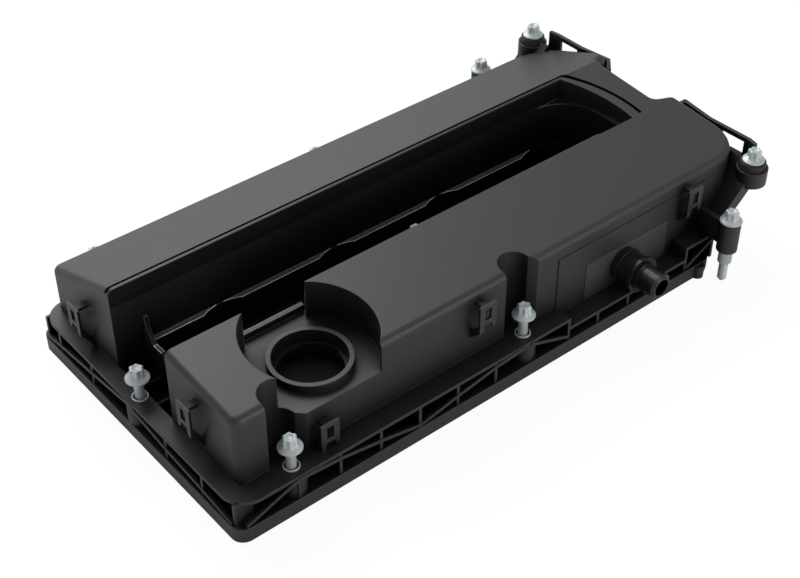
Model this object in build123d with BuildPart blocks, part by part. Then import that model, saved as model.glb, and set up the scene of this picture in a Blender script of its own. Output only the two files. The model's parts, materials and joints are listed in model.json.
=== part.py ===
# Moulded plastic valve cover for a four-cylinder engine, lying on its gasket face.
# X runs along the engine, Y across it, Z up; millimetres throughout.
import os
from math import cos, pi, sin

from build123d import *

# Overall size
overall_length = 423.5
base_width = 212.0
near_x = -overall_length / 2
side_y = base_width / 2

# Base flange: bottom rail, top plate and the lattice between them
base_length = 374.5
rail_height = 10.0
rail_width = 24.0
base_corner = 8.0
plate_top = 26.0
plate_thickness = 2.2
plate_corner = 16.0
plate_inset = 1.2
low_plate_top = 19.0
low_plate_start = 245.3
hump_top = 28.5
hump_start = 348.5
rib_thickness = 2.0
truss_height = 2.2
truss_depth = 2.6
lift_start = 367.5
lift_chamfer = 6.0
strut_inset = 0.6
stub_from_near = 361.5
stub_radius = 4.0
side_ribs = (41.5, 69.5, 98.0, 126.5, 155.0, 184.5)
low_ribs = (269.5, 296.0, 322.5)
end_ribs = (82.5, 45.0, -34.0, -70.0)
side_trusses = (
    ((6.0, 11.0), (34.4, 21.6), (42.5, 23.6)),
    ((42.5, 23.6), (69.5, 21.6), (98.0, 16.8), (126.5, 11.0)),
    ((126.5, 11.0), (155.0, 16.8), (184.5, 22.0), (207.0, 23.9)),
    ((212.0, 23.9), (243.5, 12.6)),
)
hump_truss = ((349.5, 12.0), (373.0, 24.5))
end_trusses = (
    ((100.0, 11.0), (82.5, 14.0), (45.0, 18.2), (7.0, 23.2)),
    ((7.0, 23.2), (-34.0, 17.6), (-70.0, 14.6), (-98.0, 11.0)),
)

# Domes
wall = 3.0
dome_start = 12.0
dome_end = 414.0
bridge_end = 400.5
bridge_low_y = -24.0
bridge_high_y = 37.0
near_wall_y = 15.3 - side_y
near_edge_z = 72.5
ridge_y = 33.0
ridge_z = 82.9
far_wall_y = side_y - 3.7
far_edge_z = 57.0
dome_corner = 6.0
dome_end_corner = 28.0
bridge_corner = 5.0
top_round = 4.5
overhang_bottom = 20.0

# Coil well between the domes
well_y = 2.4
well_half = 28.7
well_low_half = 25.0
well_floor = 13.0
shelf_z = 36.7
plug_pitch = 86.0
first_plug = 83.5
plug_count = 4
scallop_radius = 28.6
plug_hole_radius = 12.0
plug_collar_radius = 15.5
loop_half = 9.5
well_wall_start = 36.0
step_end = 372.5
step_arc = (0.0, 0.5, -9.5)
step_floor = 68.0
seal_foot = 9.0
collar_height = 3.0
cross_wall_from_near = 34.5
cross_wall_thick = 2.5
cross_wall_top = 54.0
cross_ribs = (-6.0, 12.0)

# Lip and groove along the inner edge of the far dome
groove_width = 2.8
groove_depth = 3.0
lip_width = 2.0
groove_end_y = -26.5
groove_arc = (381.0, 381.2, 367.0)

# Oil filler
filler_from_near = 84.0
filler_y = -59.5
recess_radius = 39.5
platform_z = 52.0
neck_outer = 25.0
neck_inner = 22.0
neck_top = 57.0
neck_bottom = 40.0
throat_radius = 21.0
bayonet_inner = 19.5
bayonet_thickness = 3.0
bayonet_top = 48.0
bayonet_gap = 22.0
parapet = (60.5, 108.0)
parapet_y = -18.5
parapet_top = 56.5
near_gap_y = -27.5

# Bolts, sleeves and their bosses
bolt_radius = 3.0
flange_radius = 7.2
flange_thick = 2.4
head_height = 6.6
head_tip_radius = 4.2
head_root_radius = 3.2
sleeve_outer = 5.0
sleeve_bore = 3.4
sleeve_gap = 0.05
sleeve_proud = 1.0
sleeve_foot = 0.6
sleeve_slit = 1.0
boss_radius = 8.5
pocket_radius = 10.5
pocket_y = near_wall_y + 4.7
pocket_flare = 4.5
near_bolt_y = 10.2 - side_y
far_bolt_y = side_y + 5.0
flange_bolt_length = 40.0
end_bolt = 8.5
near_bolts = (42.7, 213.4)
far_bolts = (46.5, 216.5)
well_bolt = 213.0

# Raised posts at the timing end
post_from_near = 371.0
post_y = side_y + 12.0
post_radius = 6.8
post_top = 46.0
post_bottom = 25.0
post_sleeve_outer = 4.5
post_sleeve_drop = 10.0
post_bolt_length = 46.6
arch_from_near = 408.5
arch_near_y = 5.5 - side_y
arch_far_y = side_y - 1.5
arch_top = 62.5
arch_bottom = 51.5
cup_radius = 10.3
cup_bore = 8.7
cup_depth = 8.0
grommet_top = 67.0
grommet_play = 0.4
grommet_radius = 8.3
arch_bolt_length = 22.0
arch_radius = 33.0
arch_centre_z = 16.0
arch_centres = (-52.0, 56.0)
post_web_bottom = 27.0
post_web_top = 44.0
ramp = ((371.0, 33.0), (393.4, 49.9), (407.5, 66.0))
ramp_skin = 2.2
ramp_rim = 6.2
shelf_top = 58.5

# Harness rails at the timing end
fence_top = 72.0
fence_bottom = 56.0
fence_thick = 2.6
fence_window_top = 68.8
fences = (
    ((411.0, -29.0), (422.2, -29.0), (418.6, -54.0), (419.5, arch_near_y + 13.5), (418.0, arch_near_y + 7)),
    ((411.0, 31.0), (420.5, 41.0), (417.5, 64.6), (417.5, arch_far_y - 17), (416.5, arch_far_y - 9.5)),
)
fence_windows = ((-54.0, -35.0), (-84.0, -65.0), (46.0, 60.0), (67.5, 84.5))

# Clips on the outside walls
clip_width = 12.5
clip_height = 19.5
clip_thick = 1.5
clip_stand_off = 6.5
clip_leg = 3.6
clip_hole_width = 4.6
clip_hole_height = 8.0
side_clips = ((67.7, 44.6, 0.0), (181.9, 66.7, 6.0), (357.0, 67.0, 6.0))
end_clips = ((64.0, 55.0, 10.0), (-53.3, 63.0, 10.0))

# Breather hose fitting
breather_from_near = 302.0
breather_z = 32.8
breather_root_radius = 11.0
breather_collar_radius = 12.2
breather_tube_radius = 8.6
breather_bore = 5.6
breather_hole = 9.0
breather_reach = 124.8
breather_tube_length = 15.8
breather_step = 2.5
panel_end = 383.5
panel_top = 62.0
panel_raise = 0.6
pad_start = 269.5
pad_end = 341.5
pad_top = 46.0
pad_raise = 0.3

# Seals and oil baffles
seal_width = 4.0
seal_depth = 6.0
seal_gap = 0.25
seal_corner = 6.0
outer_seal_y = side_y - 19.8
near_seal_inset = 19.8
far_seal_inset = 11.1
inner_seal_offset = 2.0
baffle_thick = 2.0
baffle_stud = 4.0
baffle_margin = 12.0
stake_radius = 1.8
stake_proud = 1.0
baffles = (
    (-70.0, -31.0, 130.5, 368.5, 58.0),
    (38.0, 75.0, 58.5, 368.5, 52.0),
)
splash_plate = (54.0, 118.0, -78.0, -32.0)
splash_z = 31.0
splash_studs = ((60.0, -73.0), (60.0, -38.0), (112.0, -73.0), (112.0, -38.0))

os.makedirs("parts", exist_ok=True)


def along(distance):
    """X of a point measured from the near end face."""
    return near_x + distance


def block(x0, x1, y0, y1, z0, z1, mode=Mode.ADD):
    """Rectangular prism between two corners, added to the open part."""
    with BuildSketch(Plane.XY.offset(z0)) as plan:
        with Locations(((x0 + x1) / 2, (y0 + y1) / 2)):
            Rectangle(x1 - x0, y1 - y0)
    extrude(plan.sketch, amount=z1 - z0, mode=mode)


def disc(x, y, radius, z0, z1, mode=Mode.ADD):
    """Upright cylinder, added to the open part."""
    with BuildSketch(Plane.XY.offset(z0)) as plan:
        with Locations((x, y)):
            Circle(radius)
    extrude(plan.sketch, amount=z1 - z0, mode=mode)


def prism(points, z0, z1, mode=Mode.ADD):
    """Upright prism on a plan outline, added to the open part."""
    with BuildSketch(Plane.XY.offset(z0)) as plan:
        with BuildLine():
            Polyline(*points, close=True)
        make_face()
    extrude(plan.sketch, amount=z1 - z0, mode=mode)


plug_x = [along(first_plug + plug_pitch * i) for i in range(plug_count)]
near_bolt_x = [along(d) for d in near_bolts]
side_seats = [(x, near_bolt_y) for x in near_bolt_x] + [(along(d), far_bolt_y) for d in far_bolts]
end_x = along(end_bolt)


# Outer form of both domes with the bridge that joins them
def dome_outline(inset, bottom, height):
    """Upright prism on the plan outline of the domes, inset on every side."""
    x0, x1 = along(dome_start) + inset, along(dome_end) - inset
    x2 = along(bridge_end) - inset
    y0, y1 = near_wall_y + inset, far_wall_y - inset
    with BuildSketch(Plane.XY.offset(bottom)) as plan:
        with BuildLine():
            Polyline(
                (x0, y0),
                (x1, y0),
                (x1, bridge_low_y - inset),
                (x2, bridge_low_y + 5 - inset),
                (x2, bridge_high_y - 4 + inset),
                (x1, bridge_high_y + inset),
                (x1, y1),
                (x0, y1),
                close=True,
            )
        make_face()
        fillet(plan.vertices().group_by(Axis.X)[0], dome_corner - inset / 2)
        low, bridge_low, bridge_high, high = plan.vertices().group_by(Axis.X)[-1].sort_by(Axis.Y)
        fillet([low, high], dome_end_corner - inset)
        bridge_low, bridge_high = plan.vertices().filter_by(lambda v: abs(v.X - x1) < 0.01).sort_by(Axis.Y)[1:3]
        fillet([bridge_low, bridge_high], bridge_corner - inset / 2)
        fillet(plan.vertices().filter_by(lambda v: abs(v.X - x2) < 0.01), bridge_corner)
    extrude(plan.sketch, amount=height)


def below_roof(inset):
    """Keeps what lies under the two sloping roof planes, lowered by inset."""
    near_slope = (ridge_z - near_edge_z) / (ridge_y - near_wall_y)
    far_slope = (ridge_z - far_edge_z) / (far_wall_y - ridge_y)
    reach = 40.0
    with BuildSketch(Plane.YZ.offset(near_x - reach)) as section:
        with BuildLine():
            Polyline(
                (near_wall_y - reach, -reach),
                (near_wall_y - reach, near_edge_z - reach * near_slope - inset),
                (ridge_y, ridge_z - inset),
                (far_wall_y + reach, far_edge_z - reach * far_slope - inset),
                (far_wall_y + reach, -reach),
                close=True,
            )
        make_face()
    extrude(section.sketch, amount=overall_length + 2 * reach, mode=Mode.INTERSECT)


with BuildPart() as envelope:
    dome_outline(0, 0, ridge_z + 1)
    below_roof(0)
    rim = envelope.edges().filter_by(lambda e: e.center().Z > far_edge_z - 1)
    ridge = rim.filter_by(Axis.X).filter_by(lambda e: abs(e.center().Y - ridge_y) < 1)
    fillet([e for e in rim if e not in ridge], top_round)


# Recesses in the domes: each is cut twice, once as itself and once grown by
# the wall thickness, which leaves a skin of even thickness around it
def pocket_cut(x, grow):
    """Bolt pocket in the near wall: round inside, flared on one side where it opens."""
    low, high = x - pocket_radius - grow, x + pocket_radius + grow
    mouth_y = near_wall_y - 15
    with BuildSketch(Plane.XY.offset(plate_top - grow)) as plan:
        with BuildLine():
            ThreePointArc((low, pocket_y), (x, pocket_y + pocket_radius + grow), (high, pocket_y))
            Polyline((high, pocket_y), (high + pocket_flare, near_wall_y), (high + pocket_flare, mouth_y))
            Polyline((high + pocket_flare, mouth_y), (low, mouth_y), (low, pocket_y))
        make_face()
    extrude(plan.sketch, amount=ridge_z + 5 - plate_top + grow)


def well_cut(grow):
    """Long coil well: wide upper part, narrow lower part, scallops at the plugs."""
    bottom = well_floor - grow
    low_y, high_y = well_y - well_half - grow, well_y + well_half + grow
    mouth_start = along(dome_start) + 1
    mouth_end = along(well_wall_start) + grow
    half = well_low_half + grow
    if grow == 0:
        block(near_x - 5, mouth_start, low_y, high_y, plate_top, ridge_z + 5)
    block(mouth_start - grow, plug_x[-1], low_y, high_y, shelf_z - grow, ridge_z + 5)
    block(plug_x[-1], plug_x[-1] + well_half + grow, low_y, well_y, shelf_z - grow, ridge_z + 5)
    block(mouth_start - grow, mouth_end, low_y, high_y, bottom, shelf_z + 1)
    block(mouth_start, plug_x[-1] + 10 + grow, well_y - half, well_y + half, bottom, shelf_z + 1)
    for x in plug_x[:-1]:
        disc(x, well_y, scallop_radius + grow, bottom, shelf_z + 1)
    disc(plug_x[-1], well_y, well_half + grow, bottom, ridge_z + 5)


def step_cut(grow):
    """Shallow shelf beyond the well, bounded by an arc at the bridge."""
    y0, y1 = well_y - well_half - 1 - grow, well_y + well_half + grow
    start = plug_x[-1]
    near_side, middle, far_side = [along(step_end + e) + grow for e in step_arc]
    with BuildSketch(Plane.XY.offset(step_floor - grow)) as plan:
        with BuildLine():
            Polyline((near_side, y0), (start, y0), (start, y1), (far_side, y1))
            ThreePointArc((near_side, y0), (middle, well_y - 8), (far_side, y1))
        make_face()
    extrude(plan.sketch, amount=30)


def filler_cut(grow):
    """Round recess around the oil filler neck, open to both sides."""
    x = along(filler_from_near)
    disc(x, filler_y, recess_radius + grow, platform_z - grow, ridge_z + 5)
    if grow == 0:
        block(x - 30, x + 26, near_wall_y - 8, filler_y, platform_z, ridge_z + 5)


with BuildPart() as jackets:
    for x in near_bolt_x:
        pocket_cut(x, wall)
    well_cut(wall)
    step_cut(wall)
    filler_cut(wall)
    disc(along(filler_from_near), filler_y, neck_outer + 1, neck_bottom, platform_z)
    for x, y in side_seats:
        disc(x, y, boss_radius, 0, plate_top)
    add(envelope.part, mode=Mode.INTERSECT)

with BuildPart() as cavity:
    dome_outline(wall, -1, ridge_z + 1)
    below_roof(wall)
    add(jackets.part, mode=Mode.SUBTRACT)


# Baffle studs reach up into the roof; this gives the roof's underside
def roof_under(y):
    """Height of the dome roof's inside face at a given Y."""
    if y < ridge_y:
        slope = (ridge_z - near_edge_z) / (ridge_y - near_wall_y)
    else:
        slope = (ridge_z - far_edge_z) / (far_wall_y - ridge_y)
    return ridge_z - slope * abs(y - ridge_y) - wall


def rod(x, z, radius, y0, y1, mode=Mode.ADD):
    """Cylinder lying along Y, added to the open part."""
    with BuildSketch(Plane.XZ.offset(-y0)) as face:
        with Locations((x, z)):
            Circle(radius)
    extrude(face.sketch, amount=y0 - y1, mode=mode)


def strip(points, width, z0, z1, mode=Mode.ADD):
    """Upright wall of even width along a bent line in plan."""
    with BuildSketch(Plane.XY.offset(z0)) as plan:
        for (u0, v0), (u1, v1) in zip(points, points[1:]):
            run = Vector(u1 - u0, v1 - v0)
            angle = Vector(1, 0).get_signed_angle(run, Vector(0, 0, 1))
            with Locations(((u0 + u1) / 2, (v0 + v1) / 2)):
                Rectangle(run.length, width, rotation=angle)
        with Locations(*points[1:-1]):
            Circle(width * 0.51)
    extrude(plan.sketch, amount=z1 - z0, mode=mode)


def rail_ring(near_inset, far_inset, side_inset, width, corner, z0, z1, mode=Mode.ADD):
    """Rounded rectangular ring inside the base outline, by its outer edge."""
    x0, x1 = near_x + near_inset, along(base_length) - far_inset
    half = side_y - side_inset
    with BuildSketch(Plane.XY.offset(z0)) as plan:
        with Locations(((x0 + x1) / 2, 0)):
            RectangleRounded(x1 - x0, 2 * half, corner)
            inner_corner = max(corner - width, 1.5)
            RectangleRounded(x1 - x0 - 2 * width, 2 * half - 2 * width, inner_corner, mode=Mode.SUBTRACT)
    extrude(plan.sketch, amount=z1 - z0, mode=mode)


def outer_seal_ring(play, z0, z1):
    """Path of the outer seal, widened on both sides by its play in the groove."""
    shift = seal_width / 2 + play
    near_inset, far_inset = near_seal_inset - shift, far_seal_inset - shift
    rail_ring(near_inset, far_inset, side_y - outer_seal_y - shift, 2 * shift, seal_corner, z0, z1)


def loop_ring(offset_in, offset_out, z0, z1, mode=Mode.ADD):
    """Ring that follows the plug holes: a slot with a circle at each plug."""
    with BuildSketch(Plane.XY.offset(z0)) as plan:
        for grow, kind in ((offset_out, Mode.ADD), (offset_in, Mode.SUBTRACT)):
            with Locations(((plug_x[0] + plug_x[-1]) / 2, well_y)):
                Rectangle(plug_x[-1] - plug_x[0], 2 * (loop_half + grow), mode=kind)
            with Locations(*[(x, well_y) for x in plug_x]):
                Circle(plug_hole_radius + grow, mode=kind)
    extrude(plan.sketch, amount=z1 - z0, mode=mode)


def truss(points, plane, mode=Mode.ADD):
    """Flat strut along a bent line drawn on a side face of the flange."""
    upper = [(u, v + truss_height / 2) for u, v in points]
    lower = [(u, v - truss_height / 2) for u, v in reversed(points)]
    with BuildSketch(plane) as face:
        with BuildLine():
            Polyline(*upper, *lower, close=True)
        make_face()
    extrude(face.sketch, amount=-truss_depth, mode=mode)


# Clip: a plate with a square hole and two legs, held off the wall by an arm
def clip(drop, side):
    """Clip facing -Y with its back wall at Y = 0 and its top edge at Z = 0."""
    half = clip_width / 2
    back = -clip_stand_off
    outline = [
        (-half, 0),
        (half, 0),
        (half, 2.5 - clip_height),
        (half - clip_leg * 0.6, 1.5 - clip_height),
        (half - clip_leg, -clip_height * 0.72),
        (clip_leg - half, -clip_height * 0.72),
        (clip_leg * 0.8 - half, -clip_height),
        (-half, -clip_height),
    ]
    gusset = [
        (back - 0.5, -clip_height * 0.7),
        (back - 0.5, -clip_height),
        (0.8, -clip_height - drop - 2),
        (0.8, -clip_height * 0.8 - drop),
    ]
    with BuildPart() as body:
        with BuildSketch(Plane.XZ.offset(clip_stand_off)) as plate:
            with BuildLine():
                Polyline(*[(side * u, v) for u, v in outline], close=True)
            make_face()
            with Locations((0, -2.8 - clip_hole_height / 2)):
                Rectangle(clip_hole_width, clip_hole_height, mode=Mode.SUBTRACT)
        extrude(plate.sketch, amount=clip_thick)
        arm_x0, arm_x1 = sorted((side * (3.0 - half), side * (half - 4.5)))
        block(arm_x0, arm_x1, back - 0.5, 0.8, -3.0, -1.2)
        with BuildSketch(Plane.YZ.offset(side * (0.8 - half) - 0.8)) as web:
            with BuildLine():
                Polyline(*gusset, close=True)
            make_face()
        extrude(web.sketch, amount=1.6)
    return body.part


seats = [(end_x, well_y)]
seats += side_seats
seats += [(along(well_bolt), well_y)]
posts = [(along(post_from_near), -post_y), (along(post_from_near), post_y)]
arches = [(along(arch_from_near), arch_near_y), (along(arch_from_near), arch_far_y)]
plate_x0 = near_x + plate_inset
plate_y = side_y - plate_inset
inner_x = along(dome_start) + 1
step_x = along(low_plate_start)
hump_x = along(hump_start)
last_x = along(base_length)
rib_foot = rail_height - 1

# Base flange: a rail on the gasket face, a plate above it, ribs and struts between
with BuildPart() as flange:
    rail_ring(0, 0, 0, rail_width, base_corner, 0, rail_height)
    loop_ring(0, seal_foot, 0, rail_height)
    for x in plug_x:
        disc(x, well_y, plug_hole_radius + seal_foot, 0, rail_height)
    with BuildSketch(Plane.XY.offset(plate_top - plate_thickness)) as plan:
        with Locations(((plate_x0 + step_x) / 2, 0)):
            Rectangle(step_x - plate_x0, 2 * plate_y)
        fillet(plan.vertices().group_by(Axis.X)[0], plate_corner)
        with Locations(((inner_x + step_x + 1) / 2, (near_wall_y + far_wall_y) / 2)):
            Rectangle(step_x + 1 - inner_x, far_wall_y - near_wall_y - 2, mode=Mode.SUBTRACT)
    extrude(plan.sketch, amount=plate_thickness)
    for side, wall_y in ((-1, near_wall_y + 1), (1, far_wall_y - 1)):
        middle_y, depth = (side * plate_y + wall_y) / 2, abs(side * plate_y - wall_y)
        low_y, high_y = middle_y - depth / 2, middle_y + depth / 2
        block(step_x - 1, hump_x, low_y, high_y, low_plate_top - plate_thickness, low_plate_top)
        block(hump_x - 1, last_x, low_y, high_y, hump_top - plate_thickness, hump_top)
        with BuildSketch(Plane.XY.offset(rib_foot)) as ribs:
            with Locations(*[(along(d), middle_y) for d in side_ribs]):
                Rectangle(rib_thickness, depth)
        extrude(ribs.sketch, amount=plate_top - 1 - rib_foot)
        with BuildSketch(Plane.XY.offset(rib_foot)) as ribs:
            with Locations(*[(along(d), middle_y) for d in low_ribs]):
                Rectangle(rib_thickness, depth)
        extrude(ribs.sketch, amount=low_plate_top - 1 - rib_foot)
        block(step_x - rib_thickness, step_x, low_y, high_y, rib_foot, plate_top)
        block(hump_x - 1, hump_x + 1, low_y, high_y, rib_foot, hump_top)
        block(last_x - rib_thickness, last_x, low_y, high_y, rib_foot, hump_top)
        front = Plane.XZ.offset(side_y - strut_inset)
        back = Plane.XZ.offset(strut_inset + truss_depth - side_y)
        for points in side_trusses:
            truss([(along(d), z) for d, z in points], front if side < 0 else back)
        truss([(along(d), z) for d, z in hump_truss], front if side < 0 else back)
        disc(along(stub_from_near), side * (side_y - 0.5), stub_radius, 0, rail_height - 1)
    with BuildSketch(Plane.XY.offset(rib_foot)) as ribs:
        with Locations(*[((plate_x0 + inner_x) / 2, y) for y in end_ribs]):
            Rectangle(inner_x - plate_x0, rib_thickness)
        with Locations(*[(near_x + plate_corner / 2, side * (side_y - 7)) for side in (-1, 1)]):
            Rectangle(plate_corner - 4, rib_thickness)
    extrude(ribs.sketch, amount=plate_top - 1 - rib_foot)
    for points in end_trusses:
        truss(points, Plane.YZ.offset(near_x + strut_inset + truss_depth))
    disc(end_x, well_y, boss_radius, 0, plate_top)
    for x, y in side_seats:
        disc(x, y, boss_radius, 0, plate_top)

# Posts, cups and harness rails at the timing end
with BuildPart() as timing_end:
    for side, cup_y in ((-1, arch_near_y), (1, arch_far_y)):
        wall_y = near_wall_y if side < 0 else far_wall_y
        post_x, cup_x = along(post_from_near), along(arch_from_near)
        disc(post_x, side * post_y, post_radius, post_bottom, post_top)
        low_y, high_y = sorted((side * post_y, wall_y - side))
        block(post_x - 2, post_x + 2, low_y, high_y, post_web_bottom, post_web_top)
        disc(cup_x, cup_y, cup_radius, arch_bottom, arch_top)
        # Shelf that ties the cup to the dome and the rail
        low_y, high_y = sorted((wall_y - side * 20, cup_y - side * 6))
        block(cup_x - 4, cup_x + 10, low_y, high_y, fence_bottom, shelf_top)
        # Curved ramp from the post up to the cup, with a deeper rim at its outside edge
        for depth, y0, y1 in ((ramp_skin, wall_y - side * 14, cup_y), (ramp_rim, cup_y, cup_y + side * 3.5)):
            foot, middle, head = [(along(d), z) for d, z in ramp]
            under = [(x + depth, z - depth) for x, z in (head, middle, foot)]
            with BuildSketch(Plane.XZ.offset(-max(y0, y1))) as face:
                with BuildLine():
                    ThreePointArc(foot, middle, head)
                    Line(head, under[0])
                    ThreePointArc(*under)
                    Line(under[2], foot)
                make_face()
            extrude(face.sketch, amount=abs(y1 - y0))
    for points in fences:
        strip([(along(d), y) for d, y in points], fence_thick, fence_bottom, fence_top)
    add(cavity.part, mode=Mode.SUBTRACT)

# Everything that is taken away from the moulding
with BuildPart() as hollows:
    for x in near_bolt_x:
        pocket_cut(x, 0)
    well_cut(0)
    step_cut(0)
    filler_cut(0)
    disc(along(filler_from_near), filler_y, neck_inner, bayonet_top, ridge_z)
    disc(along(filler_from_near), filler_y, throat_radius, neck_bottom - 2, bayonet_top + 1)
    # Bolt, sleeve and grommet holes
    for x, y in seats:
        disc(x, y, sleeve_outer + sleeve_gap, -1, plate_top + 1)
    for x, y in posts:
        disc(x, y, post_sleeve_outer + sleeve_gap, post_bottom - 1, post_top + 1)
    for x, y in arches:
        disc(x, y, sleeve_outer + sleeve_gap, arch_bottom - ramp_rim, arch_top + 1)
        disc(x, y, cup_bore, arch_top - cup_depth, fence_top + 1)
    # Grooves for the two seals
    outer_seal_ring(seal_gap, -1, seal_depth)
    loop_ring(inner_seal_offset - seal_gap, inner_seal_offset + seal_width + seal_gap, -1, seal_depth)
    # Windows of the harness rails
    for y0, y1 in fence_windows:
        block(along(dome_end) + 1, along(overall_length) + 1, y0, y1, shelf_top, fence_window_top)
    # Lifted underside and the two arches over the timing end
    low, high = -side_y - 5, side_y + 5
    block(last_x, along(overall_length) + 5, low, high, -1, overhang_bottom)
    with BuildSketch(Plane.XZ.offset(high)) as wedge:
        with BuildLine():
            Polyline((along(lift_start), -1), (along(lift_start), 0), (last_x, lift_chamfer), (last_x + 1, -1), close=True)
        make_face()
    extrude(wedge.sketch, amount=low - high)
    with BuildSketch(Plane.YZ.offset(last_x)) as arch:
        with Locations(*[(y, arch_centre_z) for y in arch_centres]):
            Circle(arch_radius)
    extrude(arch.sketch, amount=along(overall_length) - last_x)
    # Hole in the wall for the breather fitting
    rod(along(breather_from_near), breather_z, breather_hole, near_wall_y - 3, near_wall_y + wall + 2)

# Groove beside the lip on the far dome, of even depth below the roof
with BuildPart() as under_groove:
    block(near_x - 5, along(overall_length), -side_y, side_y, 40, ridge_z + 5)
    below_roof(groove_depth)

with BuildPart() as groove_cut:
    y0, y1 = well_y + well_half + lip_width, well_y + well_half + lip_width + groove_width
    near_side, middle, far_side = [along(d) for d in groove_arc]
    half = groove_width / 2
    with BuildSketch(Plane.XY.offset(50)) as plan:
        with BuildLine():
            Polyline((far_side - half, y0), (near_x, y0), (near_x, y1), (far_side + half, y1))
            ThreePointArc((far_side + half, y1), (middle + half, well_y - 8), (near_side + half, groove_end_y))
            Line((near_side + half, groove_end_y), (near_side - half, groove_end_y))
            ThreePointArc((near_side - half, groove_end_y), (middle - half, well_y - 8), (far_side - half, y0))
        make_face()
    extrude(plan.sketch, amount=ridge_z - 40)
    add(under_groove.part, mode=Mode.SUBTRACT)


def stud_places(d0, d1):
    """Distances from the near end of the studs of one baffle."""
    return (d0 + baffle_margin, (d0 + d1) / 2, d1 - baffle_margin)


def ring(points, outer, inner, z0, z1):
    """Upright tube at every point, added to the open part."""
    with BuildSketch(Plane.XY.offset(z0)) as plan:
        with Locations(*points):
            Circle(outer)
            Circle(inner, mode=Mode.SUBTRACT)
    extrude(plan.sketch, amount=z1 - z0)


# Details that stand in the recesses or on the walls
with BuildPart() as details:
    filler = (along(filler_from_near), filler_y)
    ring([filler], neck_outer, neck_inner, platform_z - 1, neck_top)
    with BuildSketch(Plane.XY.offset(bayonet_top - bayonet_thickness)) as ledges:
        with Locations(filler):
            Circle(neck_inner + 1)
            Circle(bayonet_inner, mode=Mode.SUBTRACT)
            Rectangle(2 * neck_outer + 5, bayonet_gap, rotation=35, mode=Mode.SUBTRACT)
    extrude(ledges.sketch, amount=bayonet_thickness)
    # Low parapet where the filler recess bulges into the well
    x0, x1 = [along(d) for d in parapet]
    block(x0, x1, parapet_y - wall, parapet_y, shelf_z, parapet_top)
    block(x0, x0 + wall, near_gap_y, parapet_y, shelf_z, platform_z)
    block(x1 - wall, x1, near_gap_y, parapet_y, shelf_z, platform_z)
    block(x0, x1, near_gap_y, parapet_y, platform_z - wall, platform_z)
    for x in plug_x:
        disc(x, well_y, plug_collar_radius, well_floor - 1, well_floor + collar_height)
    ring([(along(well_bolt), well_y)], boss_radius, sleeve_outer + sleeve_gap, 0, plate_top)
    # Cross wall at the near end of the well, rising to the far dome, and its ribs
    low_y, high_y = well_y - well_half - 1, well_y + well_half + 1
    cross_x = along(cross_wall_from_near)
    with BuildSketch(Plane.YZ.offset(cross_x - cross_wall_thick)) as face:
        with BuildLine():
            Polyline((high_y - 9, shelf_z), (low_y, shelf_z), (low_y, well_floor - 1), (high_y, well_floor - 1))
            Polyline((high_y, well_floor - 1), (high_y, cross_wall_top), (high_y - 2, cross_wall_top))
            ThreePointArc((high_y - 2, cross_wall_top), (high_y - 3.5, cross_wall_top - 9), (high_y - 9, shelf_z))
        make_face()
    extrude(face.sketch, amount=cross_wall_thick)
    for y in cross_ribs:
        block(inner_x - 1, cross_x, y - 0.8, y + 0.8, well_floor - 1, plate_top - 3)
    # Studs that carry the oil baffles
    for y0, y1, d0, d1, z in baffles:
        y = (y0 + y1) / 2
        for d in stud_places(d0, d1):
            disc(along(d), y, baffle_stud, z, roof_under(y) + 1)
            disc(along(d), y, stake_radius, z - baffle_thick - stake_proud, z + 1)
    for d, y in splash_studs:
        disc(along(d), y, baffle_stud, splash_z, platform_z - 1)
        disc(along(d), y, stake_radius, splash_z - baffle_thick - stake_proud, splash_z + 1)
    # Clips on the outside of the near dome
    for d, z, drop in side_clips:
        add(clip(drop, 1).moved(Location((along(d), near_wall_y, z))))
    for y, z, drop in end_clips:
        add(clip(drop, -1).moved(Location((along(dome_start), y, z), (0, 0, -90))))

# The moulding: one piece from gasket face to roof
with BuildPart() as cover:
    add(envelope.part)
    add(cavity.part, mode=Mode.SUBTRACT)
    add(flange.part)
    add(timing_end.part)
    # Low raised panel around the breather, and a bare pad for a label on it
    block(step_x, along(panel_end), near_wall_y - panel_raise, near_wall_y + 1, low_plate_top - 1, panel_top)
    pad_y = near_wall_y - panel_raise - pad_raise
    block(along(pad_start), along(pad_end), pad_y, near_wall_y + 1, low_plate_top - 1, pad_top)
    add(hollows.part, mode=Mode.SUBTRACT)
    add(groove_cut.part, mode=Mode.SUBTRACT)
    add(details.part)
    with BuildSketch(Plane.XY.offset(-1)) as plug_holes:
        with Locations(*[(x, well_y) for x in plug_x]):
            Circle(plug_hole_radius)
    extrude(plug_holes.sketch, amount=well_floor + collar_height + 2, mode=Mode.SUBTRACT)

shell = cover.part.solids()[0]
shell.label = "cover_shell"
export_step(shell, "parts/cover_shell.step")


# Screws: plain shank, washer face in one with a six-pointed head
def flange_bolt(x, y, tip, length):
    """Upright flange bolt with its tip at the given height."""
    under = tip + length
    star = []
    for i in range(12):
        radius = head_root_radius if i % 2 else head_tip_radius
        star.append((x + radius * cos(i * pi / 6), y + radius * sin(i * pi / 6)))
    with BuildPart() as bolt:
        disc(x, y, bolt_radius, tip, under + 1)
        disc(x, y, flange_radius, under, under + flange_thick)
        chamfer(bolt.edges().group_by(Axis.Z)[-1], flange_thick * 0.55, 3.0)
        with BuildSketch(Plane.XY.offset(under + flange_thick - 0.5)) as plan:
            with BuildLine():
                Polyline(*star, close=True)
            make_face()
        extrude(plan.sketch, amount=head_height + 0.5)
    return bolt.part


def sleeve(x, y, outer, z0, z1):
    """Rolled steel sleeve with the slit it is rolled from."""
    with BuildPart() as tube:
        ring([(x, y)], outer, sleeve_bore, z0, z1)
        block(x, x + outer + 1, y - sleeve_slit / 2, y + sleeve_slit / 2, z0 - 1, z1 + 1, mode=Mode.SUBTRACT)
    return tube.part


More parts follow.
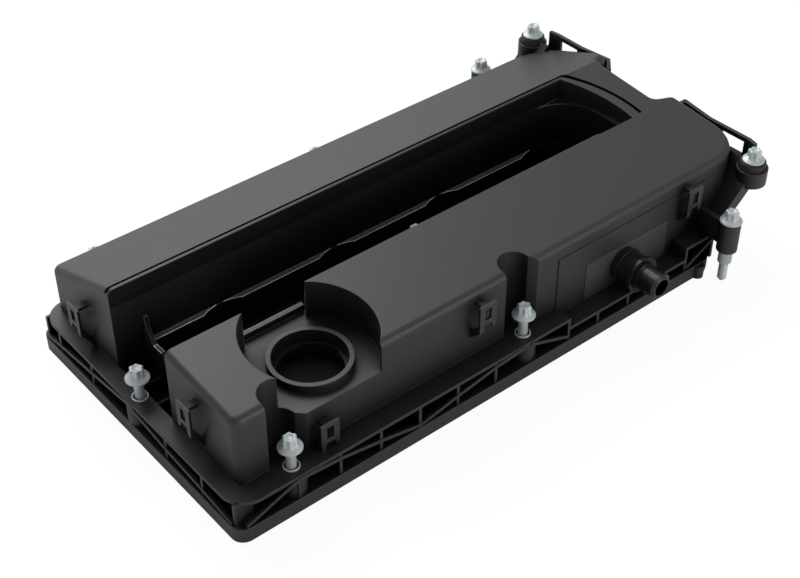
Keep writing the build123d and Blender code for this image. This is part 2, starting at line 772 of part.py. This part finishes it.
seat_names = ["end", "near_1", "near_2", "far_1", "far_2", "well"]
fixings = []
for name, (x, y) in zip(seat_names, seats):
    fixings.append((name, x, y, sleeve_outer, sleeve_foot, plate_top + sleeve_proud, 0, flange_bolt_length))
for name, (x, y) in zip(["post_near", "post_far"], posts):
    foot = post_bottom - post_sleeve_drop
    fixings.append((name, x, y, post_sleeve_outer, foot, post_bolt_length, 0, post_bolt_length))
for name, (x, y) in zip(["arch_near", "arch_far"], arches):
    head = grommet_top + grommet_play
    fixings.append((name, x, y, sleeve_outer, arch_bottom, head, head - arch_bolt_length, arch_bolt_length))

for name, x, y, outer, foot, head, tip, length in fixings:
    bolt = flange_bolt(x, y, tip, length)
    bolt.label = "bolt_" + name
    export_step(bolt, "parts/bolt_" + name + ".step")
    tube = sleeve(x, y, outer, foot, head)
    tube.label = "sleeve_" + name
    export_step(tube, "parts/sleeve_" + name + ".step")

# Rubber grommets around the sleeves in the two cups
for name, (x, y) in zip(["near", "far"], arches):
    with BuildPart() as grommet:
        ring([(x, y)], grommet_radius, sleeve_outer + 0.1, arch_top - cup_depth, grommet_top)
    grommet.part.label = "grommet_" + name
    export_step(grommet.part, "parts/grommet_" + name + ".step")

# Breather fitting welded into the near wall
breather_x = along(breather_from_near)
face_y = near_wall_y - panel_raise - pad_raise
collar_y = breather_tube_length - breather_reach
with BuildPart() as fitting:
    rod(breather_x, breather_z, breather_root_radius, collar_y + 2, face_y)
    rod(breather_x, breather_z, breather_root_radius + 0.6, collar_y + 12, collar_y + 14)
    rod(breather_x, breather_z, breather_collar_radius, collar_y, collar_y + 2.5)
    rod(breather_x, breather_z, breather_tube_radius, -breather_reach, collar_y + 1)
    chamfer(fitting.edges().group_by(Axis.Y)[0], 1.6)
    rod(breather_x, breather_z, breather_tube_radius + 1, collar_y - breather_step, collar_y + 1)
    rod(breather_x, breather_z, breather_hole - 0.1, face_y - 1, near_wall_y + wall + 1)
    rod(breather_x, breather_z, breather_bore, -breather_reach - 1, near_wall_y + wall + 3, mode=Mode.SUBTRACT)
fitting.part.label = "breather_fitting"
export_step(fitting.part, "parts/breather_fitting.step")

# Seals in the grooves of the gasket face
with BuildPart() as outer_seal:
    outer_seal_ring(0, 0, seal_depth)
outer_seal.part.label = "gasket_outer"
export_step(outer_seal.part, "parts/gasket_outer.step")

with BuildPart() as inner_seal:
    loop_ring(inner_seal_offset, inner_seal_offset + seal_width, 0, seal_depth)
inner_seal.part.label = "gasket_inner"
export_step(inner_seal.part, "parts/gasket_inner.step")

# Oil baffles staked to the studs under the domes
for name, (y0, y1, d0, d1, z) in zip(["near", "far"], baffles):
    with BuildPart() as baffle:
        with BuildSketch(Plane.XY.offset(z - baffle_thick)) as plan:
            with Locations((along((d0 + d1) / 2), (y0 + y1) / 2)):
                RectangleRounded(d1 - d0, y1 - y0, 5)
            with Locations(*[(along(d), (y0 + y1) / 2) for d in stud_places(d0, d1)]):
                Circle(stake_radius + 0.15, mode=Mode.SUBTRACT)
        extrude(plan.sketch, amount=baffle_thick)
    baffle.part.label = "baffle_" + name
    export_step(baffle.part, "parts/baffle_" + name + ".step")

# Splash plate below the oil filler neck
with BuildPart() as splash:
    d0, d1, y0, y1 = splash_plate
    with BuildSketch(Plane.XY.offset(splash_z - baffle_thick)) as plan:
        with Locations((along((d0 + d1) / 2), (y0 + y1) / 2)):
            RectangleRounded(d1 - d0, y1 - y0, 5)
        with Locations(*[(along(d), y) for d, y in splash_studs]):
            Circle(stake_radius + 0.15, mode=Mode.SUBTRACT)
    extrude(plan.sketch, amount=baffle_thick)
splash.part.label = "baffle_filler"
export_step(splash.part, "parts/baffle_filler.step")
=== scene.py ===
"""Looks of the moulded valve cover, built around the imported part. Lengths are in metres."""
import json
import math

import bmesh
import bpy
from mathutils import Matrix, Vector

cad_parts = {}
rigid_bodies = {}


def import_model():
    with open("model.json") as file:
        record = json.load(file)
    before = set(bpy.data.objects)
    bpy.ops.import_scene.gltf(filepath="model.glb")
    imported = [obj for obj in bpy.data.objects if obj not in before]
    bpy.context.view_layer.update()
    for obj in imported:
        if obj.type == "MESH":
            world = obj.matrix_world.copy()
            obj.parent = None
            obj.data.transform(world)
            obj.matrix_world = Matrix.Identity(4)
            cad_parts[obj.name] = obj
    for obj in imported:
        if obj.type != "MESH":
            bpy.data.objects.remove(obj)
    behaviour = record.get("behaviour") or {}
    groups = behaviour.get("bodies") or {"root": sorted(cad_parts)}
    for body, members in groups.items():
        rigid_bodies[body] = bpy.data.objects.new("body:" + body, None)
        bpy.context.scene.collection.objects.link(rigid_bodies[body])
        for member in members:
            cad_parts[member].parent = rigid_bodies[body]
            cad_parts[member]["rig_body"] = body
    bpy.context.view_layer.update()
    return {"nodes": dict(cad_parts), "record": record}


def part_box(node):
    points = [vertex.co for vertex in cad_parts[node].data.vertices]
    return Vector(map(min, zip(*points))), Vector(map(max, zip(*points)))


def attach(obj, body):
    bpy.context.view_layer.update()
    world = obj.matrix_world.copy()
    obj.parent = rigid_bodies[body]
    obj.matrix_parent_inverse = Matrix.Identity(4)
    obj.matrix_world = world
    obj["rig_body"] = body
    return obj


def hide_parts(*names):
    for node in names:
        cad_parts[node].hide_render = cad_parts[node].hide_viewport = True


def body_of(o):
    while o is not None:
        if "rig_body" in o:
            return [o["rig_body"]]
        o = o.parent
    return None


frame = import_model()
NODES = frame["nodes"]
SLOTS = {row["node"]: row["material_slot"] for row in frame["record"]["subparts"]}


# ---------- node helpers ----------
RAY_SAMPLES = 6
FLAT_COSINE, SHARP_COSINE = 0.985, 0.8
GRAIN_SCALE, GRAIN_DETAIL, GRAIN_DEPTH = 2600.0, 2.0, 0.00006


def new_material(name):
    mat = bpy.data.materials.new(name)
    mat.use_nodes = True
    tree = mat.node_tree
    return mat, tree, tree.nodes["Principled BSDF"]


def add_node(tree, kind, **values):
    """New node whose named inputs, or else properties, are set to the values."""
    node = tree.nodes.new(kind)
    for key, value in values.items():
        if key in node.inputs:
            node.inputs[key].default_value = value
        else:
            setattr(node, key, value)
    return node


def math_node(tree, operation, first, second):
    """Operation on a socket with another socket or a number."""
    node = add_node(tree, "ShaderNodeMath", operation=operation)
    tree.links.new(first, node.inputs[0])
    if isinstance(second, float):
        node.inputs[1].default_value = second
    else:
        tree.links.new(second, node.inputs[1])
    return node.outputs[0]


def coordinates(tree):
    """Object coordinates, the same for every piece because each sits at the origin."""
    return add_node(tree, "ShaderNodeTexCoord").outputs["Object"]


def noise_pattern(tree, **values):
    noise = add_node(tree, "ShaderNodeTexNoise", **values)
    tree.links.new(coordinates(tree), noise.inputs["Vector"])
    return noise.outputs["Fac"]


def colour_range(tree, factor, dark, light):
    ramp = add_node(tree, "ShaderNodeValToRGB")
    ramp.color_ramp.elements[0].color = (*dark, 1)
    ramp.color_ramp.elements[1].color = (*light, 1)
    tree.links.new(factor, ramp.inputs["Fac"])
    return ramp.outputs["Color"]


def value_range(tree, factor, low, high):
    spread = add_node(tree, "ShaderNodeMapRange")
    spread.inputs["To Min"].default_value = low
    spread.inputs["To Max"].default_value = high
    tree.links.new(factor, spread.inputs["Value"])
    return spread.outputs["Result"]


def scaled(tree, colour, factor):
    scale = add_node(tree, "ShaderNodeVectorMath", operation="SCALE")
    tree.links.new(colour, scale.inputs[0])
    tree.links.new(factor, scale.inputs["Scale"])
    return scale.outputs["Vector"]


def tinted(tree, colour, mask, tint):
    """The colour times the tint where the mask is 1."""
    return scaled(tree, colour, value_range(tree, mask, 1.0, tint))


def openness(tree, reach, power):
    """1 on open faces, towards 0 between walls of the piece that stand close together."""
    occlusion = add_node(
        tree, "ShaderNodeAmbientOcclusion", samples=RAY_SAMPLES, only_local=True, Distance=reach
    )
    return math_node(tree, "POWER", occlusion.outputs["AO"], power)


def edge_mask(tree, bevel):
    """Near 1 on sharp edges, 0 on flat and gently curved faces."""
    geometry = add_node(tree, "ShaderNodeNewGeometry")
    dot = add_node(tree, "ShaderNodeVectorMath", operation="DOT_PRODUCT")
    tree.links.new(bevel.outputs["Normal"], dot.inputs[0])
    tree.links.new(geometry.outputs["True Normal"], dot.inputs[1])
    spread = add_node(tree, "ShaderNodeMapRange")
    spread.inputs["From Min"].default_value = FLAT_COSINE
    spread.inputs["From Max"].default_value = SHARP_COSINE
    tree.links.new(dot.outputs["Value"], spread.inputs["Value"])
    return spread.outputs["Result"]


def inside_box(tree, low, high):
    """1 between two corners, 0 outside; None leaves a side open."""
    place = add_node(tree, "ShaderNodeSeparateXYZ")
    tree.links.new(coordinates(tree), place.inputs[0])
    result = None
    for axis in range(3):
        for limit, operation in ((low[axis], "GREATER_THAN"), (high[axis], "LESS_THAN")):
            if limit is None:
                continue
            test = math_node(tree, operation, place.outputs[axis], limit)
            if result is not None:
                test = math_node(tree, "MULTIPLY", result, test)
            result = test
    return result


def inside_circle(tree, centre, radius):
    """1 within a radius of an upright axis, 0 outside."""
    flat = add_node(tree, "ShaderNodeVectorMath", operation="MULTIPLY")
    tree.links.new(coordinates(tree), flat.inputs[0])
    flat.inputs[1].default_value = (1, 1, 0)
    distance = add_node(tree, "ShaderNodeVectorMath", operation="DISTANCE")
    tree.links.new(flat.outputs["Vector"], distance.inputs[0])
    distance.inputs[1].default_value = (*centre, 0)
    return math_node(tree, "LESS_THAN", distance.outputs["Value"], radius)


def soft_edges(tree, bsdf, radius, grain=0.0):
    """Rounds sharp edges in the shading, with a fine grain over it where one is asked for."""
    bevel = add_node(tree, "ShaderNodeBevel", samples=RAY_SAMPLES)
    bevel.inputs["Radius"].default_value = radius
    normal = bevel.outputs["Normal"]
    if grain > 0:
        bump = add_node(tree, "ShaderNodeBump", Strength=grain, Distance=GRAIN_DEPTH)
        pattern = noise_pattern(tree, Scale=GRAIN_SCALE, Detail=GRAIN_DETAIL)
        tree.links.new(pattern, bump.inputs["Height"])
        tree.links.new(normal, bump.inputs["Normal"])
        normal = bump.outputs["Normal"]
    tree.links.new(normal, bsdf.inputs["Normal"])
    return bevel


# ---------- materials ----------
# Shade between close walls: its reach, its power, and its range for colour and for shine.
CREVICE_REACH, CREVICE_POWER = 0.09, 1.7
CREVICE_SHADE = (0.04, 1.0)
CREVICE_SHINE = (0.12, 0.5)

# Parts of the moulding, two corners of a box each, and tints: a painted highlight on the well's
# ledge, painted shade on the well's lip, and a lighter tone of its own on the label place.
WELL = ((-0.1900, -0.0270, 0.0300), (0.1500, 0.0318, 0.0720))
LEDGE = ((-0.1900, 0.0150, 0.0363), (0.1500, 0.0309, 0.0370))
LABEL_PLACE = ((0.0578, None, 0.0192), (0.1297, -0.0914, 0.046))
WELL_LIP = ((-0.1995, 0.0309, 0.0700), (0.1650, 0.0332, None))
BOX_TINTS = ((LEDGE, 12.0), (LABEL_PLACE, 2.0), (WELL_LIP, 0.3))
# Painted highlights: edges lighter, and far lighter inside the well.
EDGE_HIGHLIGHT, WELL_EDGE_HIGHLIGHT = 1.7, 14.0
EJECTOR_MARKS = ((-0.1890, -0.0370), (-0.0288, -0.0540))
EJECTOR_RADIUS, EJECTOR_TINT = 0.0085, 0.93

METAL_BEVEL = 0.0004


def marks_and_painted_light(tree, colour, bevel):
    """Colour with painted highlights on its edges and on the well's ledge, painted shade on the
    well's lip, the label place's own lighter tone and the ejector marks.
    """
    # Painted highlight on every sharp edge, much stronger on the edges inside the well.
    edges = edge_mask(tree, bevel)
    colour = tinted(tree, colour, edges, EDGE_HIGHLIGHT)
    well_edges = math_node(tree, "MULTIPLY", edges, inside_box(tree, *WELL))
    colour = tinted(tree, colour, well_edges, WELL_EDGE_HIGHLIGHT)
    # Painted highlight on the ledge and painted shade on the lip; the label place's lighter tone
    # is its own.
    for box, tint in BOX_TINTS:
        colour = tinted(tree, colour, inside_box(tree, *box), tint)
    for centre in EJECTOR_MARKS:
        mark = inside_circle(tree, centre, EJECTOR_RADIUS)
        colour = tinted(tree, colour, mark, EJECTOR_TINT)
    return colour


def moulding_material(name, dark, light, rough, bevel, grain, with_marks_and_painted_light=False):
    """Black plastic or rubber, with painted shade: darker and duller between close walls."""
    mat, tree, bsdf = new_material(name)
    clouds = noise_pattern(tree, Scale=14.0, Detail=4.0, Roughness=0.6)
    open_sky = openness(tree, CREVICE_REACH, CREVICE_POWER)
    colour = colour_range(tree, clouds, dark, light)
    # Painted shade: the colour darkens between close walls.
    colour = scaled(tree, colour, value_range(tree, open_sky, *CREVICE_SHADE))
    rounded = soft_edges(tree, bsdf, bevel, grain)
    # Painted highlights and shade on edges, ledge and lip, together with the real marks.
    if with_marks_and_painted_light:
        colour = marks_and_painted_light(tree, colour, rounded)
    # Painted shade on the shine too: duller between close walls.
    shine = value_range(tree, open_sky, *CREVICE_SHINE)
    tree.links.new(shine, bsdf.inputs["Specular IOR Level"])
    tree.links.new(colour, bsdf.inputs["Base Color"])
    tree.links.new(value_range(tree, clouds, *rough), bsdf.inputs["Roughness"])
    return mat


def metal_material(name, dark, light, rough, metallic):
    """Zinc-plated steel; the plating is pale and only half as mirror-like as bare metal."""
    mat, tree, bsdf = new_material(name)
    bsdf.inputs["Metallic"].default_value = metallic
    specks = noise_pattern(tree, Scale=220.0, Detail=3.0)
    tree.links.new(colour_range(tree, specks, dark, light), bsdf.inputs["Base Color"])
    tree.links.new(value_range(tree, specks, *rough), bsdf.inputs["Roughness"])
    soft_edges(tree, bsdf, METAL_BEVEL)
    return mat


MATERIALS = {
    "moulding": moulding_material(
        "moulding_look", dark=(0.027, 0.027, 0.0268), light=(0.032, 0.032, 0.0312),
        rough=(0.42, 0.5), bevel=0.0007, grain=0.35, with_marks_and_painted_light=True,
    ),
    "fitting": moulding_material(
        "fitting_look", dark=(0.008, 0.008, 0.008), light=(0.011, 0.011, 0.011),
        rough=(0.2, 0.28), bevel=0.0005, grain=0.05,
    ),
    "rubber": moulding_material(
        "rubber_look", dark=(0.018, 0.018, 0.018), light=(0.026, 0.026, 0.025),
        rough=(0.6, 0.7), bevel=0.0004, grain=0.1,
    ),
    "baffle": moulding_material(
        "baffle_look", dark=(0.03, 0.03, 0.03), light=(0.04, 0.04, 0.04),
        rough=(0.5, 0.6), bevel=0.0003, grain=0.1,
    ),
    "sleeve": metal_material(
        "sleeve_look", dark=(0.44, 0.50, 0.52), light=(0.60, 0.65, 0.67),
        rough=(0.42, 0.52), metallic=0.5,
    ),
    "zinc": metal_material(
        "zinc_look", dark=(0.46, 0.52, 0.545), light=(0.62, 0.675, 0.70),
        rough=(0.45, 0.58), metallic=0.45,
    ),
}

for node, obj in NODES.items():
    obj.data.materials.clear()
    obj.data.materials.append(MATERIALS[SLOTS[node]])


# ---------- cover without the blade beside the bolt pocket ----------
BLADE_LOW, BLADE_HIGH = (-0.1593, -0.0873, 0.0525), (-0.1573, -0.0835, 0.0800)
PLATFORM_Z = 0.052


def trimmed_cover():
    """Copy of the moulding whose thin blade between pocket and recess is let down flush."""
    mesh = NODES["cover_shell"].data.copy()
    mesh.name = "cover_shell_trimmed"
    for vertex in mesh.vertices:
        if all(low < value < high for low, value, high in zip(BLADE_LOW, vertex.co, BLADE_HIGH)):
            vertex.co.z = PLATFORM_Z
    piece = bpy.data.objects.new("cover_shell_trimmed", mesh)
    bpy.context.collection.objects.link(piece)
    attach(piece, "cover")
    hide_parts("cover_shell")


trimmed_cover()


# ---------- detailed bolts and sleeves ----------
# Bolt; HEAD_CAD is the height of the plain head above its washer face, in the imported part.
HEAD_CAD = 0.0066
HEAD_HEIGHT = 0.0056
HEAD_LOBES = 6
FLANGE_THICK = 0.0024
FLANGE_RADIUS = 0.0072
FLANGE_EDGE = 0.0003
SEAT_PLAY = 0.0001
SHANK_RADIUS = 0.00295
SHANK_START = 0.0150
THREAD_CORE = 0.00262
THREAD_DEPTH = 0.00036
THREAD_PITCH = 0.001
THREAD_START = 0.0014
THREAD_LENGTH = 0.012
THREAD_END = 0.0142
RINGS_PER_PITCH = 8

# Rolled sleeve, whose bore is tight up to SLEEVE_FOOT; SLIT_ANGLE is half the slit, in radians.
SLEEVE_RADIUS = 0.005
POST_SLEEVE_RADIUS = 0.0045
SLEEVE_WALL = 0.0009
SLEEVE_EDGE = 0.0002
SLEEVE_FOOT = 0.004
SLEEVE_FOOT_STEP = 0.0005
SLEEVE_FOOT_BORE = 0.0034
SLIT_ANGLE = 0.11

FACES_AROUND = 48
SHARP_ANGLE = math.radians(38)


def lobed(mean, depth):
    """Radius of the head's lobed outline by angle."""
    return lambda angle: mean + depth * math.cos(HEAD_LOBES * angle)


def round_at(radius):
    return lambda angle: radius


def thread_at(z):
    """Radius by angle along a helical thread."""
    def radius(angle):
        phase = (z / THREAD_PITCH - angle / (2 * math.pi)) % 1.0
        return THREAD_CORE + THREAD_DEPTH * (1 - abs(2 * phase - 1))
    return radius


def bolt_rings(under):
    """Height and outline of each ring, from the tip up to the recess in the head."""
    rings = [(0.0, round_at(0.0016)), (0.0012, round_at(0.0025))]
    steps = int(THREAD_LENGTH / THREAD_PITCH * RINGS_PER_PITCH)
    for i in range(steps):
        z = THREAD_START + THREAD_LENGTH * i / steps
        rings.append((z, thread_at(z)))
    top = under + FLANGE_THICK
    crown = top + HEAD_HEIGHT
    rings += [
        (THREAD_END, round_at(THREAD_CORE)),
        (SHANK_START, round_at(SHANK_RADIUS)),
        (under + SEAT_PLAY, round_at(SHANK_RADIUS)),
        (under + SEAT_PLAY, round_at(FLANGE_RADIUS - FLANGE_EDGE)),
        (under + FLANGE_EDGE, round_at(FLANGE_RADIUS)),
        (under + 0.0010, round_at(FLANGE_RADIUS)),
        (under + 0.0013, round_at(FLANGE_RADIUS - FLANGE_EDGE)),
        (top - 0.0003, round_at(0.0055)),
        (top + 0.0004, lobed(0.00470, 0.00012)),
        (top + 0.0010, lobed(0.00415, 0.00040)),
        (crown - 0.0009, lobed(0.00395, 0.00050)),
        (crown - 0.0003, lobed(0.00370, 0.00042)),
        (crown, lobed(0.00330, 0.00030)),
        (crown, lobed(0.00250, 0.00012)),
        (crown - 0.0005, round_at(0.0019)),
        (crown - 0.0007, round_at(0.0008)),
    ]
    return rings


def sleeve_rings(outer, height):
    """Outlines of a rolled sleeve, up its outside and down its bore."""
    bore = outer - SLEEVE_WALL
    return [
        (0.0, round_at(outer - SLEEVE_EDGE)),
        (SLEEVE_EDGE, round_at(outer)),
        (height - SLEEVE_EDGE, round_at(outer)),
        (height, round_at(outer - SLEEVE_EDGE)),
        (height, round_at(bore + SLEEVE_EDGE)),
        (height - SLEEVE_EDGE, round_at(bore)),
        (SLEEVE_FOOT, round_at(bore)),
        (SLEEVE_FOOT - SLEEVE_FOOT_STEP, round_at(SLEEVE_FOOT_BORE)),
        (0.0, round_at(SLEEVE_FOOT_BORE)),
    ]


def turned_mesh(name, centre, foot, rings, slit):
    """Skin through outlines listed by height, capped, or with a slit from end to end."""
    net = bmesh.new()
    rows = []
    steps = FACES_AROUND + 1 if slit else FACES_AROUND
    for z, outline in rings:
        row = []
        for i in range(steps):
            angle = slit + (2 * math.pi - 2 * slit) * i / FACES_AROUND
            radius = outline(angle)
            x = centre[0] + radius * math.cos(angle)
            y = centre[1] + radius * math.sin(angle)
            row.append(net.verts.new((x, y, foot + z)))
        rows.append(row)
    pairs = list(zip(rows, rows[1:]))
    if slit:
        pairs.append((rows[-1], rows[0]))
    for lower, upper in pairs:
        for i in range(FACES_AROUND):
            j = (i + 1) % steps
            net.faces.new((lower[i], lower[j], upper[j], upper[i]))
    if slit:
        net.faces.new([row[0] for row in rows])
        net.faces.new([row[-1] for row in reversed(rows)])
    else:
        net.faces.new(list(reversed(rows[0])))
        net.faces.new(rows[-1])
    bmesh.ops.recalc_face_normals(net, faces=net.faces)
    mesh = bpy.data.meshes.new(name)
    net.to_mesh(mesh)
    net.free()
    mesh.shade_smooth()
    mesh.set_sharp_from_angle(angle=SHARP_ANGLE)
    return mesh


def detailed_fastener(node):
    """Bolt with lobed head and thread, or rolled sleeve, in place of its plain node."""
    low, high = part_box(node)
    centre = ((low.x + high.x) / 2, (low.y + high.y) / 2)
    if node.startswith("bolt_"):
        rings, slit = bolt_rings(high.z - HEAD_CAD - FLANGE_THICK - low.z), 0.0
    else:
        outer = POST_SLEEVE_RADIUS if node.startswith("sleeve_post_") else SLEEVE_RADIUS
        rings, slit = sleeve_rings(outer, high.z - low.z), SLIT_ANGLE
    mesh = turned_mesh(node + "_detail", centre, low.z, rings, slit)
    mesh.materials.append(MATERIALS[SLOTS[node]])
    piece = bpy.data.objects.new(node + "_detail", mesh)
    bpy.context.collection.objects.link(piece)
    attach(piece, body_of(NODES[node])[0])
    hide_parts(node)


for node in sorted(NODES):
    if node.startswith(("bolt_", "sleeve_")):
        detailed_fastener(node)


# ---------- floor, light, camera ----------
FLOOR_SIZE = 30
FLOOR_DROP = 0.0002
FLOOR_COLOUR = (0.8, 0.8, 0.8, 1)
FLOOR_GLOW, FLOOR_GLOW_SHARE = 1.06, 0.88
WORLD_LIGHT, WORLD_SEEN = 0.36, 1.0
WORLD_IN_REFLECTIONS = 0.2

CAMERA_PLACE = (-0.48109, -0.56628, 0.61501)
CAMERA_AZIMUTH, CAMERA_ELEVATION = math.radians(-39.52), math.radians(39.63)
CAMERA_LENS, CAMERA_SENSOR = 67.31, 36.0


def make_floor():
    """White ground that takes shadows; the camera sees it mostly as its own glow."""
    bpy.ops.mesh.primitive_plane_add(size=FLOOR_SIZE, location=(0, 0, -FLOOR_DROP))
    floor = bpy.context.object
    floor.name = "floor"
    mat, tree, bsdf = new_material("floor_look")
    bsdf.inputs["Base Color"].default_value = FLOOR_COLOUR
    bsdf.inputs["Roughness"].default_value = 0.8
    bsdf.inputs["Specular IOR Level"].default_value = 0.1
    path = add_node(tree, "ShaderNodeLightPath")
    white = add_node(tree, "ShaderNodeEmission", Strength=FLOOR_GLOW)
    seen = math_node(tree, "MULTIPLY", path.outputs["Is Camera Ray"], FLOOR_GLOW_SHARE)
    mix = add_node(tree, "ShaderNodeMixShader")
    tree.links.new(seen, mix.inputs["Fac"])
    tree.links.new(bsdf.outputs["BSDF"], mix.inputs[1])
    tree.links.new(white.outputs["Emission"], mix.inputs[2])
    tree.links.new(mix.outputs["Shader"], tree.nodes["Material Output"].inputs["Surface"])
    floor.data.materials.append(mat)


def make_world():
    """White surroundings, full to the camera, weaker as light and in reflections."""
    world = bpy.data.worlds.new("studio")
    bpy.context.scene.world = world
    world.use_nodes = True
    tree = world.node_tree
    background = tree.nodes["Background"]
    path = add_node(tree, "ShaderNodeLightPath").outputs
    direct = math_node(tree, "MAXIMUM", path["Is Camera Ray"], path["Is Transmission Ray"])
    glossy = math_node(tree, "MULTIPLY", path["Is Glossy Ray"], WORLD_IN_REFLECTIONS)
    seen = math_node(tree, "MAXIMUM", direct, glossy)
    strength = value_range(tree, seen, WORLD_LIGHT, WORLD_SEEN)
    tree.links.new(strength, background.inputs["Strength"])
    background.inputs["Color"].default_value = (1, 1, 1, 1)


def area_light(name, place, aim, size, power, colour=(1, 1, 1)):
    data = bpy.data.lights.new(name, "AREA")
    data.shape = "SQUARE"
    data.size = size
    data.energy = power
    data.color = colour
    lamp = bpy.data.objects.new(name, data)
    lamp.location = place
    direction = Vector(aim) - Vector(place)
    lamp.rotation_euler = direction.to_track_quat("-Z", "Y").to_euler()
    bpy.context.collection.objects.link(lamp)


def make_camera():
    """Camera solved on the photograph."""
    data = bpy.data.cameras.new("camera")
    data.sensor_fit = "HORIZONTAL"
    data.sensor_width = CAMERA_SENSOR
    data.lens = CAMERA_LENS
    camera = bpy.data.objects.new("camera", data)
    forward = Vector((
        -math.sin(CAMERA_AZIMUTH) * math.cos(CAMERA_ELEVATION),
        math.cos(CAMERA_AZIMUTH) * math.cos(CAMERA_ELEVATION),
        -math.sin(CAMERA_ELEVATION),
    ))
    right = forward.cross(Vector((0, 0, 1))).normalized()
    up = right.cross(forward)
    rows = [(right[i], up[i], -forward[i], CAMERA_PLACE[i]) for i in range(3)]
    camera.matrix_world = Matrix((*rows, (0, 0, 0, 1)))
    bpy.context.collection.objects.link(camera)
    bpy.context.scene.camera = camera


make_floor()
make_world()
area_light("key_above", place=(0.15, 1.35, 1.3), aim=(0, 0, 0), size=1.3, power=28)
area_light(
    "fill_front", place=(0.5, -1.7, 0.55), aim=(0, 0, 0.03), size=1.0, power=10,
    colour=(1.0, 0.97, 0.88),
)
make_camera()
bpy.context.scene.view_settings.view_transform = "Standard"
